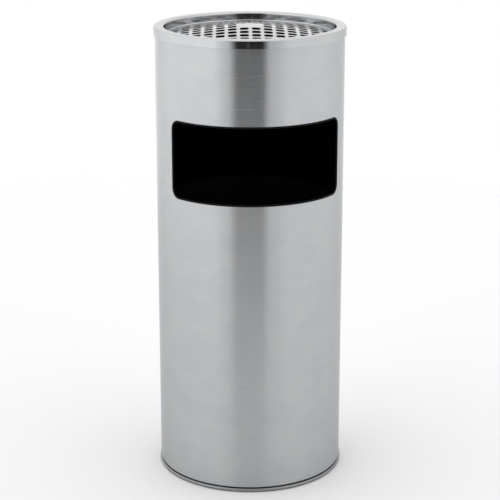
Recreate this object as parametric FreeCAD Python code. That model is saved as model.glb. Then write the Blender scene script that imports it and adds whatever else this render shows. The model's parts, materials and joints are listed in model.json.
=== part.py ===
"""Round litter bin with an ash tray on top, as an assembly of separate pieces.

Millimetres, +Z up. The origin is the middle of the footprint, on the floor. The litter aperture
faces -Y. Every piece is written to parts/NODE.step.
"""

import FreeCAD
import Part
import math
import os

# --- Driving dimensions -------------------------------------------------------------------------

# Outer shell: a rolled sheet with a closed hem at the top, a lap seam at the back and a neck
# above the base seam.
body_diameter = 250.0
overall_height = 610.0
shell_gauge = 0.8
hem_height = 8.0
lap_width = 12.0
neck_depth = 0.9
neck_height = 1.3
neck_bend = 1.2
hem_round = 0.32

# Litter aperture: a rounded rectangle punched before the sheet is rolled.
aperture_height = 100.0
aperture_drop = 112.0
aperture_angle = 117.6
aperture_corner = 11.5

# Rubber edge trim pushed onto the raw edge of the aperture.
trim_lip = 1.8
trim_wall = 0.7

# Base: a pressed pan seamed onto the shell, with a rubber foot ring under its land.
base_gauge = 0.8
seam_proud = 1.4
seam_height = 4.0
seam_round = 1.0
foot_height = 3.4
foot_width = 9.0
foot_inset = 2.0
foot_round = 0.4
seam_lift = 1.0
land_width = 14.0
land_bend = 1.0
panel_rise = 4.0

# Ash pan: a pressed dish whose rim hooks over the top of the shell.
pan_gauge = 0.8
pan_overhang = 2.15
pan_skirt = 11.0
rim_width = 14.15
rim_round = 2.6
bowl_depth = 50.0
bowl_draft = 8.0
bowl_bend = 8.0
bowl_mouth_bend = 2.0
ledge_width = 7.0
ledge_bend = 1.0

# Ash sieve: a shallow perforated cone with a flat flange that sits on the ledge of the pan, and a
# bead round its edge.
sieve_gauge = 0.6
sieve_drop = 11.3
sieve_rise = 10.7
sieve_flange = 7.0
sieve_bead_radius = 1.0
sieve_cap_radius = 17.0
sieve_bend = 12.0
sieve_turn = -5.3
hole_pitch = 15.5
hole_size = 11.2
hole_corner = 2.6

# Liner bucket: a tapered sheet wall with two swaged beads, a recessed bottom and a rim curled
# round a wire.
bucket_gauge = 0.8
bucket_clearance = 14.2
bucket_taper = 6.0
bucket_below_sill = 18.0
bucket_bottom_recess = 6.0
bucket_bottom_bend = 1.4
swage_depth = 1.5
swage_half_height = 6.0
swage_bend = 7.0
upper_swage_drop = 62.0
lower_swage_lift = 58.0
rim_wire_radius = 1.6
curl_bite = 0.1

# Bail handle of the bucket, its ears and its rivets.
bail_wire_radius = 2.0
bail_bend_radius = 4.0
bail_head_radius = 3.0
bail_head_length = 1.2
grip_radius = 6.0
grip_length = 92.0
grip_groove = 0.7
grip_groove_radius = 1.4
grip_groove_count = 6
ear_gauge = 1.5
ear_width = 22.0
ear_foot_height = 20.0
ear_above_hole = 7.0
ear_corner = 6.6
ear_bend = 1.6
rivet_radius = 2.0
rivet_head_radius = 3.6
rivet_head_height = 1.4
rivet_crown = 1.1
rivet_spacing = 11.0

# Clearances.
rest_gap = 0.25
seam_clearance = 0.05
sieve_clearance = 0.9
bail_clearance = 0.25
rivet_clearance = 0.05

# --- Sizes that follow from them ----------------------------------------------------------------

shell_radius = body_diameter / 2
shell_inner_radius = shell_radius - shell_gauge
neck_radius = shell_radius - neck_depth
rim_top = overall_height
shell_top = rim_top - pan_gauge - rest_gap
seam_bottom = seam_lift
seam_top = seam_bottom + seam_height
shell_bottom = seam_bottom + base_gauge + seam_clearance
seam_radius = shell_radius + seam_proud

aperture_top = overall_height - aperture_drop
aperture_sill = aperture_top - aperture_height
aperture_half_angle = aperture_angle / 2

chuck_radius = neck_radius - shell_gauge - seam_clearance - base_gauge
land_underside = foot_height
step_radius = chuck_radius - land_width
panel_underside = land_underside + panel_rise
panel_top = panel_underside + base_gauge

pan_radius = shell_radius + pan_overhang
pan_inner_radius = pan_radius - rim_width
ledge_top = rim_top - sieve_drop - sieve_gauge - rest_gap
bowl_radius = pan_inner_radius - ledge_width
bowl_floor = rim_top - bowl_depth

sieve_radius = pan_inner_radius - sieve_clearance
sieve_flange_top = rim_top - sieve_drop
sieve_cap_top = sieve_flange_top + sieve_rise
sieve_open_radius = sieve_radius - sieve_flange

bucket_rim_top = aperture_sill - bucket_below_sill
bucket_foot = panel_top + rest_gap
bucket_top_radius = shell_inner_radius - bucket_clearance
bucket_foot_radius = bucket_top_radius - bucket_taper
curl_radius = rim_wire_radius + seam_clearance + bucket_gauge
curl_centre_radius = bucket_top_radius - bucket_gauge - curl_bite + curl_radius
curl_centre_height = bucket_rim_top - curl_radius

bucket_slope = bucket_taper / (curl_centre_height - bucket_foot)
bail_radius = bucket_top_radius
bail_height = bucket_rim_top + bail_wire_radius + rest_gap
grip_span = math.degrees(grip_length / bail_radius)
grip_end_reach = bail_radius * math.cos(math.radians(grip_span / 2))
grip_rise = bucket_rim_top + grip_radius + rest_gap - bail_height
bail_tilt = math.degrees(math.asin(grip_rise / grip_end_reach))
ear_inner_face = curl_centre_radius + curl_radius + rivet_clearance
ear_outer_face = ear_inner_face + ear_gauge
rivet_height = curl_centre_height - curl_radius - ear_foot_height / 2 - ear_gauge

X = FreeCAD.Vector(1, 0, 0)
Y = FreeCAD.Vector(0, 1, 0)
Z = FreeCAD.Vector(0, 0, 1)
ORIGIN = FreeCAD.Vector(0, 0, 0)
TINY = 1e-6


# --- Sections and simple solids -----------------------------------------------------------------


def corner(before, point, after, radius):
    """The two tangent points and the middle of the arc that rounds a corner."""
    to_before = (before - point).normalize()
    to_after = (after - point).normalize()
    half = to_before.getAngle(to_after) / 2
    reach = radius / math.tan(half)
    inward = (to_before + to_after).normalize()
    middle = point + inward * (radius / math.sin(half) - radius)
    return point + to_before * reach, middle, point + to_after * reach


def closed_section(points):
    """A face in the XZ plane from (radius, height, corner radius) points."""
    places = [FreeCAD.Vector(r, 0, z) for r, z, _ in points]
    edges, ends = [], []
    for i, (_, _, rounding) in enumerate(points):
        if rounding > 0:
            start, middle, end = corner(
                places[i - 1], places[i], places[(i + 1) % len(points)], rounding
            )
            edges.append(Part.Arc(start, middle, end).toShape())
            ends.append((start, end))
        else:
            ends.append((places[i], places[i]))
    for i in range(len(points)):
        leave, arrive = ends[i][1], ends[(i + 1) % len(points)][0]
        if leave.distanceToPoint(arrive) > TINY:
            edges.append(Part.makeLine(leave, arrive))
    return Part.Face(Part.Wire(Part.__sortEdges__(edges)))


def sheet_section(path, gauge):
    """A sheet's section from (radius, height, bend radius) points on the face that is on its
    right, going along the path. The metal lies on the left, and a bend keeps its gauge."""
    places = [FreeCAD.Vector(r, 0, z) for r, z, _ in path]
    runs = [(b - a).normalize() for a, b in zip(places, places[1:])]
    left = [FreeCAD.Vector(-run.z, 0, run.x) for run in runs]
    far_side = [(places[0] + left[0] * gauge, 0)]
    for i in range(1, len(path) - 1):
        mitre = (left[i - 1] + left[i]).normalize()
        place = places[i] + mitre * (gauge / mitre.dot(left[i]))
        turns_left = runs[i - 1].x * runs[i].z - runs[i - 1].z * runs[i].x > 0
        bend = path[i][2] - gauge if turns_left else path[i][2] + gauge
        far_side.append((place, max(bend, 0)))
    far_side.append((places[-1] + left[-1] * gauge, 0))
    return closed_section(list(path) + [(p.x, p.z, bend) for p, bend in reversed(far_side)])


def turned(section):
    """A solid of revolution about the Z axis."""
    return Part.Solid(section.revolve(ORIGIN, Z, 360))


def ring(inner, outer, low, high, rounding=0):
    """A ring with a rectangular section."""
    return turned(
        closed_section(
            [
                (inner, low, rounding),
                (outer, low, rounding),
                (outer, high, rounding),
                (inner, high, rounding),
            ]
        )
    )


def round_ring(ring_radius, height, tube_radius):
    """A ring with a round section."""
    return Part.makeTorus(ring_radius, tube_radius, FreeCAD.Vector(0, 0, height), Z)


def facing_front(shape, angle):
    """The shape swept from the X axis by angle, turned so that its middle faces -Y."""
    return shape.rotated(ORIGIN, Z, -90 - angle / 2)


def aperture_block(inner, outer, grow, rounding):
    """A curved block with the outline of the aperture, grown on every side."""
    half = aperture_half_angle + math.degrees(grow / shell_radius)
    low, high = aperture_sill - grow, aperture_top + grow
    face = closed_section([(inner, low, 0), (outer, low, 0), (outer, high, 0), (inner, high, 0)])
    block = Part.Solid(face.revolve(ORIGIN, Z, 2 * half))
    radial = [edge for edge in block.Edges if abs(edge.Length - (outer - inner)) < TINY]
    return facing_front(block.makeFillet(rounding, radial), 2 * half)


def pin_along_x(radius, start, end, y, z):
    """A round pin parallel to the X axis."""
    return Part.makeCylinder(radius, end - start, FreeCAD.Vector(start, y, z), X)


def mirrored(shape):
    """The same piece on the -X side."""
    return shape.mirror(ORIGIN, X)


# --- Outer shell and base -----------------------------------------------------------------------


def make_body_shell():
    """The rolled sheet, with its neck, hem, lap seam and aperture."""
    neck_top = seam_top + neck_height
    wall = turned(
        sheet_section(
            [
                (neck_radius, shell_bottom, 0),
                (neck_radius, neck_top, neck_bend),
                (shell_radius, neck_top + neck_depth, neck_bend),
                (shell_radius, shell_top - hem_height / 2, 0),
            ],
            shell_gauge,
        )
    )
    hem_inner = shell_radius - 2 * shell_gauge
    hem = ring(hem_inner, shell_radius, shell_top - hem_height, shell_top, hem_round)
    lap_low, lap_high = neck_top + 2 * neck_depth, shell_top - hem_height / 2
    lap_angle = math.degrees(lap_width / shell_radius)
    lap_face = closed_section(
        [
            (hem_inner, lap_low, 0),
            (shell_radius - shell_gauge / 2, lap_low, 0),
            (shell_radius - shell_gauge / 2, lap_high, 0),
            (hem_inner, lap_high, 0),
        ]
    )
    lap = Part.Solid(lap_face.revolve(ORIGIN, Z, lap_angle)).rotated(ORIGIN, Z, 90 - lap_angle / 2)
    reach = 5 * shell_gauge
    opening = aperture_block(shell_radius - reach, shell_radius + reach, 0, aperture_corner)
    return wall.fuse([hem, lap]).removeSplitter().cut(opening)


def make_aperture_trim(shell):
    """A U-section rubber edging round the aperture, with the shell's edge in its slot."""
    inner, outer = shell_inner_radius - trim_wall, shell_radius + trim_wall
    outline = aperture_block(inner, outer, trim_lip, aperture_corner + trim_lip)
    hole = aperture_block(
        inner - trim_lip, outer + trim_lip, -trim_wall, aperture_corner - trim_wall
    )
    return outline.cut(hole).cut(shell)


def make_base_pan():
    """The pressed bottom: panel, land and chuck wall, with the seam that grips the shell."""
    pressed = turned(
        sheet_section(
            [
                (0, panel_underside, 0),
                (step_radius - panel_rise, panel_underside, land_bend),
                (step_radius, land_underside, land_bend),
                (chuck_radius, land_underside, land_bend),
                (chuck_radius, seam_bottom, base_gauge),
                (neck_radius + seam_proud, seam_bottom, 0),
            ],
            base_gauge,
        )
    )
    seam = ring(neck_radius + seam_clearance, seam_radius, seam_bottom, seam_top, seam_round)
    return pressed.fuse(seam).removeSplitter()


def make_foot_ring():
    """The rubber ring that the bin stands on, under the land of the base pan."""
    outer = chuck_radius - foot_inset
    return ring(outer - foot_width, outer, 0, foot_height, foot_round)


# --- Ash pan and sieve --------------------------------------------------------------------------


def make_ash_pan():
    """The dish: skirt, rim, ledge for the sieve, and bowl."""
    bowl_floor_radius = bowl_radius - bowl_draft
    return turned(
        sheet_section(
            [
                (pan_radius, rim_top - pan_skirt, 0),
                (pan_radius, rim_top, rim_round),
                (pan_inner_radius, rim_top, rim_round),
                (pan_inner_radius, ledge_top, ledge_bend),
                (bowl_radius, ledge_top, bowl_mouth_bend),
                (bowl_floor_radius, bowl_floor, bowl_bend),
                (0, bowl_floor, 0),
            ],
            pan_gauge,
        )
    )


def sieve_holes():
    """Centres of the square holes. The four nearest the middle are left out."""
    per_side = int(sieve_open_radius / hole_pitch) + 1
    steps = [(i + 0.5) * hole_pitch for i in range(-per_side, per_side)]
    least_side = hole_size / 3
    found = []
    for x in steps:
        for y in steps:
            near_x, near_y = (max(abs(v) - hole_size / 2, 0) for v in (x, y))
            in_middle = max(abs(x), abs(y)) < hole_pitch
            in_reach = math.hypot(near_x, near_y) < sieve_open_radius - least_side
            if in_reach and not in_middle:
                found.append((x, y))
    return found


def square_punch(x, y, low, high):
    """A square punch with round corners."""
    block = Part.makeBox(
        hole_size,
        hole_size,
        high - low,
        FreeCAD.Vector(x - hole_size / 2, y - hole_size / 2, low),
    )
    upright = [e for e in block.Edges if abs(e.Length - (high - low)) < TINY]
    return block.makeFillet(hole_corner, upright)


def make_ash_sieve():
    """The perforated cone with its plain cap, its flange and the bead round its edge."""
    plate = turned(
        sheet_section(
            [
                (sieve_radius, sieve_flange_top, 0),
                (sieve_open_radius, sieve_flange_top, sieve_bend),
                (sieve_cap_radius, sieve_cap_top, sieve_bend),
                (0, sieve_cap_top, 0),
            ],
            sieve_gauge,
        )
    )
    bead = round_ring(
        sieve_radius - sieve_bead_radius,
        sieve_flange_top - sieve_gauge + sieve_bead_radius,
        sieve_bead_radius,
    )
    low, high = sieve_flange_top - 2 * sieve_gauge, sieve_cap_top + sieve_gauge
    punches = [square_punch(x, y, low, high) for x, y in sieve_holes()]
    die = Part.makeCylinder(sieve_open_radius, high - low, FreeCAD.Vector(0, 0, low))
    punched = plate.cut(Part.makeCompound(punches).common(die))
    return punched.fuse(bead).removeSplitter().rotated(ORIGIN, Z, sieve_turn)


# --- Liner bucket -------------------------------------------------------------------------------


def rivet_places():
    """Y of each rivet of one ear."""
    return [-rivet_spacing / 2, rivet_spacing / 2]


def bucket_radius_at(height):
    """The outer radius of the bucket's plain wall at a height."""
    return bucket_top_radius - bucket_slope * (curl_centre_height - height)


def swage(height):
    """The three section points of one bead that is rolled outwards in the wall."""
    low, high = height - swage_half_height, height + swage_half_height
    return [
        (bucket_radius_at(low), low, swage_bend),
        (bucket_radius_at(height) + swage_depth, height, swage_bend),
        (bucket_radius_at(high), high, swage_bend),
    ]


def make_bucket_wall():
    """The tapered wall with its beads and hollow rim curl, and holes for the ears' rivets."""
    wall = turned(
        sheet_section(
            [
                (bucket_foot_radius, bucket_foot, 0),
                *swage(bucket_foot + lower_swage_lift),
                *swage(bucket_rim_top - upper_swage_drop),
                (bucket_top_radius, curl_centre_height, 0),
            ],
            bucket_gauge,
        )
    )
    curl = round_ring(curl_centre_radius, curl_centre_height, curl_radius)
    core = round_ring(curl_centre_radius, curl_centre_height, curl_radius - bucket_gauge)
    body = wall.fuse(curl).cut(core)
    drills = [
        pin_along_x(rivet_radius + rivet_clearance, -shell_radius, shell_radius, y, rivet_height)
        for y in rivet_places()
    ]
    return body.cut(drills)


def make_bucket_base():
    """The recessed bottom of the bucket, with a flange turned down inside the wall."""
    flange_outer = bucket_foot_radius - bucket_gauge - seam_clearance
    panel = bucket_foot + bucket_bottom_recess
    return turned(
        sheet_section(
            [
                (flange_outer, bucket_foot, 0),
                (flange_outer + bucket_slope * bucket_bottom_recess, panel, bucket_bottom_bend),
                (0, panel, 0),
            ],
            bucket_gauge,
        )
    )


def make_bucket_rim_wire():
    """The steel wire inside the rim curl."""
    return round_ring(curl_centre_radius, curl_centre_height, rim_wire_radius)


def make_bail_ear():
    """A pressed lug: foot on the wall, joggle round the curl, and a tab with the bail hole."""
    foot_face = bucket_top_radius + rivet_clearance
    foot_low, foot_high = rivet_height - ear_foot_height / 2, rivet_height + ear_foot_height / 2
    tab_low = foot_high + (ear_inner_face - foot_face) / 2
    tab_high = bail_height + ear_above_hole
    section = sheet_section(
        [
            (foot_face + ear_gauge, foot_low, 0),
            (foot_face + ear_gauge, foot_high - ear_gauge, ear_bend),
            (ear_outer_face, tab_low, ear_bend),
            (ear_outer_face, tab_high, 0),
        ],
        ear_gauge,
    )
    lug = section.extrude(FreeCAD.Vector(0, ear_width, 0))
    lug.translate(FreeCAD.Vector(0, -ear_width / 2, 0))
    ends = [
        e
        for e in lug.Edges
        if abs(e.Length - ear_gauge) < TINY
        and abs(abs(e.tangentAt(e.FirstParameter).x) - 1) < TINY
    ]
    lug = lug.makeFillet(ear_corner, ends)
    drills = [
        pin_along_x(rivet_radius + rivet_clearance, 0, shell_radius, y, rivet_height)
        for y in rivet_places()
    ]
    pivot = pin_along_x(bail_wire_radius + bail_clearance, 0, shell_radius, 0, bail_height)
    return lug.cut(drills + [pivot])


def make_ear_rivets():
    """Two rivets of one ear, with a domed head outside and a flat one inside."""
    outside = bucket_top_radius + rivet_clearance + ear_gauge
    reach = rivet_spacing / 2 + rivet_head_radius
    inner_radius = bucket_radius_at(rivet_height - rivet_head_radius) - bucket_gauge
    inside = math.sqrt(inner_radius**2 - reach**2) - rivet_clearance
    rivets = []
    for y in rivet_places():
        shank = pin_along_x(rivet_radius, inside, outside, y, rivet_height)
        head = pin_along_x(
            rivet_head_radius, outside, outside + rivet_head_height, y, rivet_height
        )
        crown = outside + rivet_head_height
        rims = [e for e in head.Edges if abs(e.CenterOfMass.x - crown) < TINY]
        head = head.makeFillet(rivet_crown, rims)
        tail = pin_along_x(
            rivet_head_radius, inside - rivet_head_height / 2, inside, y, rivet_height
        )
        rivets.append(shank.fuse([head, tail]).removeSplitter())
    return rivets


# --- Bail handle --------------------------------------------------------------------------------


def laid_down(shape):
    """The bail at rest: tilted about its pivots, with the grip over the front of the rim."""
    return shape.rotated(FreeCAD.Vector(0, 0, bail_height), X, bail_tilt).rotated(ORIGIN, Z, 180)


def make_bail_wire():
    """A half-round wire handle. Its ends turn outwards through the ears and are upset."""
    bend = bail_bend_radius
    bend_x = math.sqrt((bail_radius + bend) ** 2 - bend**2)
    share = bail_radius / (bail_radius + bend)
    joint_x, joint_y = bend_x * share, bend * share
    towards_joint = FreeCAD.Vector(joint_x - bend_x, joint_y - bend, 0).normalize()
    mid = (towards_joint - Y).normalize() * bend
    head_start = ear_outer_face + bail_clearance
    wire_end = head_start + bail_head_length

    def at(x, y):
        return FreeCAD.Vector(x, y, bail_height)

    def bend_arc(side):
        middle = at(side * (bend_x + mid.x), bend + mid.y)
        return Part.Arc(at(side * bend_x, 0), middle, at(side * joint_x, joint_y)).toShape()

    hoop = Part.Arc(at(joint_x, joint_y), at(0, bail_radius), at(-joint_x, joint_y)).toShape()
    path = Part.Wire(
        [
            Part.makeLine(at(wire_end, 0), at(bend_x, 0)),
            bend_arc(1),
            hoop,
            bend_arc(-1),
            Part.makeLine(at(-bend_x, 0), at(-wire_end, 0)),
        ]
    )
    section = Part.Wire(Part.makeCircle(bail_wire_radius, at(wire_end, 0), X))
    rod = path.makePipeShell([section], True, False)
    head = pin_along_x(bail_head_radius, head_start, wire_end, 0, bail_height)
    return laid_down(rod.fuse([head, mirrored(head)]).removeSplitter())


def make_bail_grip():
    """A moulded sleeve on the middle of the bail, with finger grooves."""
    grip_centre = FreeCAD.Vector(bail_radius, 0, 0)
    face = Part.Face(Part.Wire(Part.makeCircle(grip_radius, grip_centre, Y)))
    sleeve = Part.Solid(face.revolve(ORIGIN, Z, grip_span))
    bore = round_ring(bail_radius, 0, bail_wire_radius + seam_clearance)
    groove_ring = grip_radius + grip_groove_radius - grip_groove
    groove = Part.makeTorus(groove_ring, grip_groove_radius, grip_centre, Y)
    step = grip_span / (grip_groove_count + 1)
    grooves = [groove.rotated(ORIGIN, Z, step * (i + 1)) for i in range(grip_groove_count)]
    sleeve = sleeve.cut([bore] + grooves).rotated(ORIGIN, Z, 90 - grip_span / 2)
    sleeve.translate(FreeCAD.Vector(0, 0, bail_height))
    return laid_down(sleeve)


# --- Assembly -----------------------------------------------------------------------------------


def make_parts():
    """Every node's solids, by name."""
    shell = make_body_shell()
    ear = make_bail_ear()
    rivets = make_ear_rivets()
    return {
        "body_shell": [shell],
        "aperture_trim": [make_aperture_trim(shell)],
        "base_pan": [make_base_pan()],
        "foot_ring": [make_foot_ring()],
        "ash_pan": [make_ash_pan()],
        "ash_sieve": [make_ash_sieve()],
        "bucket_wall": [make_bucket_wall()],
        "bucket_base": [make_bucket_base()],
        "bucket_rim_wire": [make_bucket_rim_wire()],
        "bail_ear_right": [ear],
        "bail_ear_left": [mirrored(ear)],
        "ear_rivets_right": rivets,
        "ear_rivets_left": [mirrored(rivet) for rivet in rivets],
        "bail_wire": [make_bail_wire()],
        "bail_grip": [make_bail_grip()],
    }


def main():
    """Writes one STEP file per node."""
    os.makedirs("parts", exist_ok=True)
    for name, solids in make_parts().items():
        shape = solids[0] if len(solids) == 1 else Part.makeCompound(solids)
        shape.exportStep(f"parts/{name}.step")
        state = "valid" if shape.isValid() else "INVALID"
        print(name, len(shape.Solids), "solids", state, round(shape.Volume, 1), "mm3")


main()
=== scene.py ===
"""Looks of a round litter bin with an ash pan on top: its sheet-metal skins, finishes and studio.

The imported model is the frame: it gives every place and overall size. Each sub-assembly below is a
class whose fields are the sizes that the frame doesn't give. Lengths are in metres.
"""

import json
import logging
import math
from dataclasses import dataclass, field
from enum import Enum
from typing import Callable, Iterable, Sequence

import bmesh
import bpy
from mathutils import Matrix, Vector
from mathutils.geometry import delaunay_2d_cdt


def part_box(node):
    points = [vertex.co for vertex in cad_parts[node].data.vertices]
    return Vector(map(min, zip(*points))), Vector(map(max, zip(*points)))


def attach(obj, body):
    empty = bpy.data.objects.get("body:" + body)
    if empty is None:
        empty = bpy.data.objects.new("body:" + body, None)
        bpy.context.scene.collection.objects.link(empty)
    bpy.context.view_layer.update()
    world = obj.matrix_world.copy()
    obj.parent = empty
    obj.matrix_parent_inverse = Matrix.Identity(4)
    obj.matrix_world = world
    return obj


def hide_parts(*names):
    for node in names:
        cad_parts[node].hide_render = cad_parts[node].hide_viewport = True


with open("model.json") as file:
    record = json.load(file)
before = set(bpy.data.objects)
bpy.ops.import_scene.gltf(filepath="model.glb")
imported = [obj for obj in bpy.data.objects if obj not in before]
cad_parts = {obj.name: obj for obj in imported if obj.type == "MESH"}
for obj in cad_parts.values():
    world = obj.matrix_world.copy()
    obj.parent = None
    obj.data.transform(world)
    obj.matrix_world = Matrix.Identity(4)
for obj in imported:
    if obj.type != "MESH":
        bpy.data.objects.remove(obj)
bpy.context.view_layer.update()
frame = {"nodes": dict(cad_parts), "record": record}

MM = 0.001
TURN = 2 * math.pi
ROUND_STEPS = 256
TINY = 1e-7
NEAR = 1e-6
STRAIGHT = 1e-4

Point = tuple[float, float]
Corner = tuple[float, float, float]
Colour = tuple[float, float, float]
Faces = list[tuple[int, ...]]

log = logging.getLogger("litter_bin")


# --- Outlines -----------------------------------------------------------------------------------


def arc_points(start: Point, apex: Point, end: Point, radius: float, steps: int) -> list[Point]:
    """Rounds one corner of an outline.

    Args:
        start: The outline's point before the corner.
        apex: The corner itself.
        end: The outline's point after the corner.
        radius: The radius of the bend.
        steps: How many flats the bend gets.

    Returns:
        The points of the bend, from the side of start to the side of end.
    """
    a, p, b = Vector(start), Vector(apex), Vector(end)
    to_a, to_b = (a - p).normalized(), (b - p).normalized()
    half = to_a.angle(to_b) / 2
    if radius < TINY or half > math.pi / 2 - STRAIGHT:
        return [apex]
    centre = p + (to_a + to_b).normalized() * (radius / math.sin(half))
    reach = radius / math.tan(half)
    first, last = p + to_a * reach - centre, p + to_b * reach - centre
    sweep = first.angle_signed(last)
    turned = [first @ Matrix.Rotation(sweep * i / steps, 2) for i in range(steps + 1)]
    points = [centre + turn for turn in turned]
    if (points[-1] - (p + to_b * reach)).length > radius:
        points = [centre + first @ Matrix.Rotation(-sweep * i / steps, 2) for i in range(steps + 1)]
    return [(q.x, q.y) for q in points]


def rounded(corners: Sequence[Corner], closed: bool = False, steps: int = 6) -> list[Point]:
    """Turns corners with bend radii into an outline.

    Args:
        corners: The x, y and bend radius of each corner.
        closed: Whether the last corner joins the first.
        steps: How many flats each bend gets.

    Returns:
        The outline's points in order.
    """
    found: list[Point] = []
    last = len(corners) - 1
    for i, (x, y, radius) in enumerate(corners):
        if not closed and i in (0, last):
            found.append((x, y))
            continue
        before, after = corners[i - 1], corners[(i + 1) % len(corners)]
        found.extend(arc_points(before[:2], (x, y), after[:2], radius, steps))
    return found


def offset(points: Sequence[Point], distance: float, closed: bool = False) -> list[Point]:
    """Moves an outline to its left by a distance, keeping its number of points.

    Args:
        points: The outline.
        distance: How far it moves to the left of its direction.
        closed: Whether its last point joins its first.

    Returns:
        The moved outline.
    """
    count = len(points)
    moved = []
    for i in range(count):
        before = points[i - 1] if closed or i > 0 else points[i]
        after = points[(i + 1) % count] if closed or i < count - 1 else points[i]
        here = Vector(points[i])
        runs = [here - Vector(before), Vector(after) - here]
        lefts = [Vector((-run.y, run.x)).normalized() for run in runs if run.length > TINY]
        mitre = sum(lefts, Vector((0, 0))).normalized()
        place = here + mitre * (distance / max(mitre.dot(lefts[0]), 0.3))
        moved.append((place.x, place.y))
    return moved


def sheet_loop(path: Sequence[Corner], gauge: float, steps: int = 6) -> list[Point]:
    """The closed section of a bent sheet.

    Args:
        path: Corners of the face that is on the path's right.
        gauge: The sheet's thickness, to the left of the path.
        steps: How many flats each bend gets.

    Returns:
        The section's points: along the path, and back on the other face.
    """
    near = rounded(path, steps=steps)
    return near + list(reversed(offset(near, gauge)))


# --- Meshes -------------------------------------------------------------------------------------


def make_object(name: str, verts: Iterable[Sequence[float]], faces: Faces) -> bpy.types.Object:
    """Makes a closed, evenly oriented mesh object.

    Args:
        name: The piece's name.
        verts: Its points.
        faces: Its faces, as indices of points.

    Returns:
        The new object, linked to the scene.
    """
    mesh = bpy.data.meshes.new(name)
    mesh.from_pydata([tuple(v) for v in verts], [], faces)
    work = bmesh.new()
    work.from_mesh(mesh)
    bmesh.ops.delete(work, geom=[v for v in work.verts if not v.link_faces], context="VERTS")
    bmesh.ops.recalc_face_normals(work, faces=work.faces)
    work.to_mesh(mesh)
    work.free()
    piece = bpy.data.objects.new(name, mesh)
    bpy.context.scene.collection.objects.link(piece)
    return piece


def smooth(piece: bpy.types.Object, sharpest: float = 50.0) -> None:
    """Shades a piece smoothly over its bends, with broad faces kept flat.

    Args:
        piece: The object.
        sharpest: The angle in degrees over which an edge stays sharp.
    """
    piece.data.shade_smooth()
    piece.data.set_sharp_from_angle(angle=math.radians(sharpest))
    weights = piece.modifiers.new("broad faces stay flat", "WEIGHTED_NORMAL")
    weights.keep_sharp = True


def lathe(name: str, loop: Sequence[Point], steps: int = ROUND_STEPS) -> bpy.types.Object:
    """Turns a closed section about the Z axis.

    Args:
        name: The piece's name.
        loop: The section's (radius, height) points in order. It may have two points on the axis.
        steps: How many flats go round.

    Returns:
        The turned piece, shaded smoothly.
    """
    verts: list[Corner] = []
    rows: list[list[int]] = []
    for radius, height in loop:
        start = len(verts)
        if radius < TINY:
            verts.append((0.0, 0.0, height))
            rows.append([start] * steps)
            continue
        turns = (TURN * i / steps for i in range(steps))
        verts.extend((radius * math.sin(t), -radius * math.cos(t), height) for t in turns)
        rows.append(list(range(start, start + steps)))
    faces: Faces = []
    for row, after in zip(rows, rows[1:] + rows[:1]):
        if row[0] == row[-1] and after[0] == after[-1]:
            continue
        for i in range(steps):
            j = (i + 1) % steps
            ring = [row[i], row[j], after[j], after[i]]
            faces.append(tuple(dict.fromkeys(ring)))
    piece = make_object(name, verts, faces)
    smooth(piece)
    return piece


def sweep(
    name: str,
    places: Sequence[Matrix],
    sections: Sequence[Sequence[Point]],
    closed: bool = False,
) -> bpy.types.Object:
    """Joins sections that stand along a path.

    Args:
        name: The piece's name.
        places: For each section, the matrix whose X and Y axes are the section's own.
        sections: The sections, all with the same number of points.
        closed: Whether the last section joins the first. If not, both ends get a face.

    Returns:
        The swept piece, shaded smoothly.
    """
    verts = [
        place @ Vector((u, w, 0.0))
        for place, section in zip(places, sections)
        for u, w in section
    ]
    count, size = len(places), len(sections[0])
    faces: Faces = []
    for i in range(count if closed else count - 1):
        a, b = i * size, (i + 1) % count * size
        faces.extend((a + k, a + (k + 1) % size, b + (k + 1) % size, b + k) for k in range(size))
    if not closed:
        faces.append(tuple(range(size)))
        faces.append(tuple(range((count - 1) * size, count * size)))
    piece = make_object(name, verts, faces)
    smooth(piece)
    return piece


def ring_points(radius: float, steps: int) -> list[Point]:
    """Points evenly spaced on a circle about the origin."""
    turns = (TURN * i / steps for i in range(steps))
    return [(radius * math.cos(t), radius * math.sin(t)) for t in turns]


# --- Node graphs --------------------------------------------------------------------------------


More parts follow.
